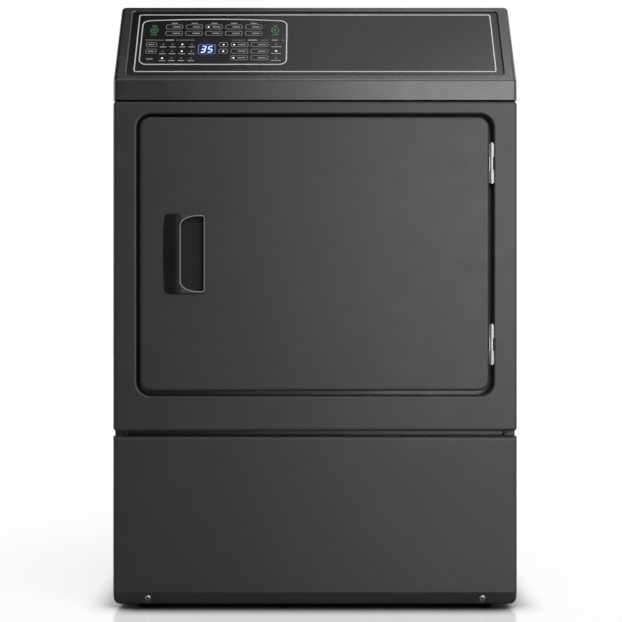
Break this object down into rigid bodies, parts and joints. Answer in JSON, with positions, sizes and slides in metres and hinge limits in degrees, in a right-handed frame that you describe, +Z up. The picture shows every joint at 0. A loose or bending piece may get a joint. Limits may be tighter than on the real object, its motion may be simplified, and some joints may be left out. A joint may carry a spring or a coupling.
{
  "type": "clothes dryer",
  "caption": "Free-standing vented clothes dryer with a sloping front control hood, a side-swing door with a pull-cup handle, a tumbling drum and a rear exhaust.",
  "frame": {"origin": "on the floor, under the middle of the whole box", "axes": "+Z up, -Y out of the front, +X to the right seen from the front"},
  "size_m": [0.683, 0.711, 1.04],
  "materials": {
    "painted_steel": "satin graphite paint",
    "overlay_black": "smooth black printed overlay",
    "display_glass": "smoked display window",
    "board_green": "circuit board",
    "handle_black": "moulded black plastic",
    "screw_steel": "bright plated steel",
    "hinge_steel": "satin plated steel",
    "liner_white": "moulded white plastic",
    "gasket_rubber": "soft grey rubber",
    "catch_plastic": "moulded plastic",
    "strike_steel": "plated steel",
    "bulkhead_enamel": "white enamel",
    "zinc_steel": "zinc coated sheet",
    "drum_steel": "stainless sheet",
    "sensor_steel": "stainless strip",
    "baffle_plastic": "moulded plastic",
    "felt": "pressed felt",
    "glide_plastic": "slippery plastic",
    "heater_alloy": "heat-tinted steel",
    "shaft_steel": "ground steel",
    "roller_rubber": "rubber tyre",
    "motor_alloy": "cast alloy",
    "belt_rubber": "ribbed rubber",
    "duct_plastic": "moulded plastic",
    "filter_plastic": "moulded plastic",
    "filter_net": "fine woven mesh",
    "terminal_plastic": "black moulded plastic",
    "cover_steel": "zinc coated sheet",
    "valve_brass": "brass",
    "foot_rubber": "rubber foot on a steel stem"
  },
  "bodies": {
    "cabinet": {"control_hood": "painted_steel", "top_panel": "painted_steel", "front_panel": "painted_steel", "lower_front_panel": "painted_steel", "left_side_panel": "painted_steel", "right_side_panel": "painted_steel", "control_overlay": "overlay_black", "display_window": "display_glass", "control_board": "board_green", "lower_panel_screws": "screw_steel", "hinge_frame_leaves": "hinge_steel", "hinge_pins": "hinge_steel", "door_catch": "catch_plastic", "door_switch_body": "catch_plastic", "front_bulkhead": "bulkhead_enamel", "front_collar": "bulkhead_enamel", "rear_panel": "zinc_steel", "base_pan": "zinc_steel", "rear_bulkhead": "zinc_steel", "heater_box": "zinc_steel", "motor_mount": "zinc_steel", "idler_post": "zinc_steel", "exhaust_duct": "zinc_steel", "exhaust_pipe": "zinc_steel", "moisture_bars": "sensor_steel", "front_drum_seal": "felt", "rear_drum_seal": "felt", "drum_glides": "glide_plastic", "heater_element": "heater_alloy", "thermostats": "heater_alloy", "roller_shafts": "shaft_steel", "motor_body": "motor_alloy", "drive_belt": "belt_rubber", "blower_housing": "duct_plastic", "lint_duct": "duct_plastic", "terminal_block": "terminal_plastic", "terminal_cover": "cover_steel", "water_valve": "valve_brass"},
    "door": {"door_outer_panel": "painted_steel", "door_inner_panel": "liner_white", "door_gasket": "gasket_rubber", "door_handle": "handle_black", "door_strike": "strike_steel", "hinge_door_leaves": "hinge_steel"},
    "switch_plunger": {"door_switch_plunger": "catch_plastic"},
    "drum": {"drum_shell": "drum_steel", "drum_baffles": "baffle_plastic"},
    "rotor": {"motor_shaft": "shaft_steel", "motor_pulley": "motor_alloy", "blower_wheel": "duct_plastic"},
    "tension_arm": {"idler_arm": "zinc_steel"},
    "idler": {"idler_pulley": "duct_plastic"},
    "roller_left": {"left_roller": "roller_rubber"},
    "roller_right": {"right_roller": "roller_rubber"},
    "lint_filter": {"lint_filter_frame": "filter_plastic", "lint_filter_mesh": "filter_net"},
    "foot_front_left": {"front_left_foot": "foot_rubber"},
    "foot_front_right": {"front_right_foot": "foot_rubber"},
    "foot_rear_left": {"rear_left_foot": "foot_rubber"},
    "foot_rear_right": {"rear_right_foot": "foot_rubber"}
  },
  "joints": [
    {"name": "door_swing", "type": "hinge", "parent": "cabinet", "child": "door", "pos_m": [0.2983, -0.3475, 0.59985], "axis": [0, 0, 1], "range_deg": [0, 170]},
    {"name": "switch_plunger_slide", "type": "slide", "parent": "cabinet", "child": "switch_plunger", "axis": [0, -1, 0], "range_m": [0, 0.006]},
    {"name": "drum_spin", "type": "hinge", "parent": "cabinet", "child": "drum", "pos_m": [0, -0.2715, 0.59985], "axis": [0, 1, 0], "continuous": true},
    {"name": "motor_spin", "type": "hinge", "parent": "cabinet", "child": "rotor", "pos_m": [0.2123, -0.0288, 0.1592], "axis": [0, 1, 0], "continuous": true},
    {"name": "tension_arm_swing", "type": "hinge", "parent": "cabinet", "child": "tension_arm", "pos_m": [0.04552, -0.0288, 0.17356], "axis": [0, 1, 0], "range_deg": [0, 6], "stiffness_Nm_per_rad": 2, "springref_deg": -22.92},
    {"name": "idler_spin", "type": "hinge", "parent": "tension_arm", "child": "idler", "pos_m": [0.10752, -0.0288, 0.18357], "axis": [0, 1, 0], "continuous": true},
    {"name": "left_roller_spin", "type": "hinge", "parent": "cabinet", "child": "roller_left", "pos_m": [-0.21776, 0.2665, 0.32113], "axis": [0, 1, 0], "continuous": true},
    {"name": "right_roller_spin", "type": "hinge", "parent": "cabinet", "child": "roller_right", "pos_m": [0.21776, 0.2665, 0.32113], "axis": [0, 1, 0], "continuous": true},
    {"name": "lint_filter_lift", "type": "slide", "parent": "cabinet", "child": "lint_filter", "axis": [0, 0, 1], "range_m": [0, 0.16]},
    {"name": "front_left_foot_screw", "type": "slide", "parent": "cabinet", "child": "foot_front_left", "axis": [0, 0, -1], "range_m": [0, 0.02]},
    {"name": "front_right_foot_screw", "type": "slide", "parent": "cabinet", "child": "foot_front_right", "axis": [0, 0, -1], "range_m": [0, 0.02]},
    {"name": "rear_left_foot_screw", "type": "slide", "parent": "cabinet", "child": "foot_rear_left", "axis": [0, 0, -1], "range_m": [0, 0.02]},
    {"name": "rear_right_foot_screw", "type": "slide", "parent": "cabinet", "child": "foot_rear_right", "axis": [0, 0, -1], "range_m": [0, 0.02]}
  ],
  "couplings": [
    {"joint": "motor_spin", "follows": "drum_spin", "ratio": 21.49},
    {"joint": "idler_spin", "follows": "drum_spin", "ratio": -13.398},
    {"joint": "left_roller_spin", "follows": "drum_spin", "ratio": -9.0943},
    {"joint": "right_roller_spin", "follows": "drum_spin", "ratio": -9.0943},
    {"joint": "switch_plunger_slide", "follows": "door_swing", "m_per_rad": 0.001989}
  ]
}
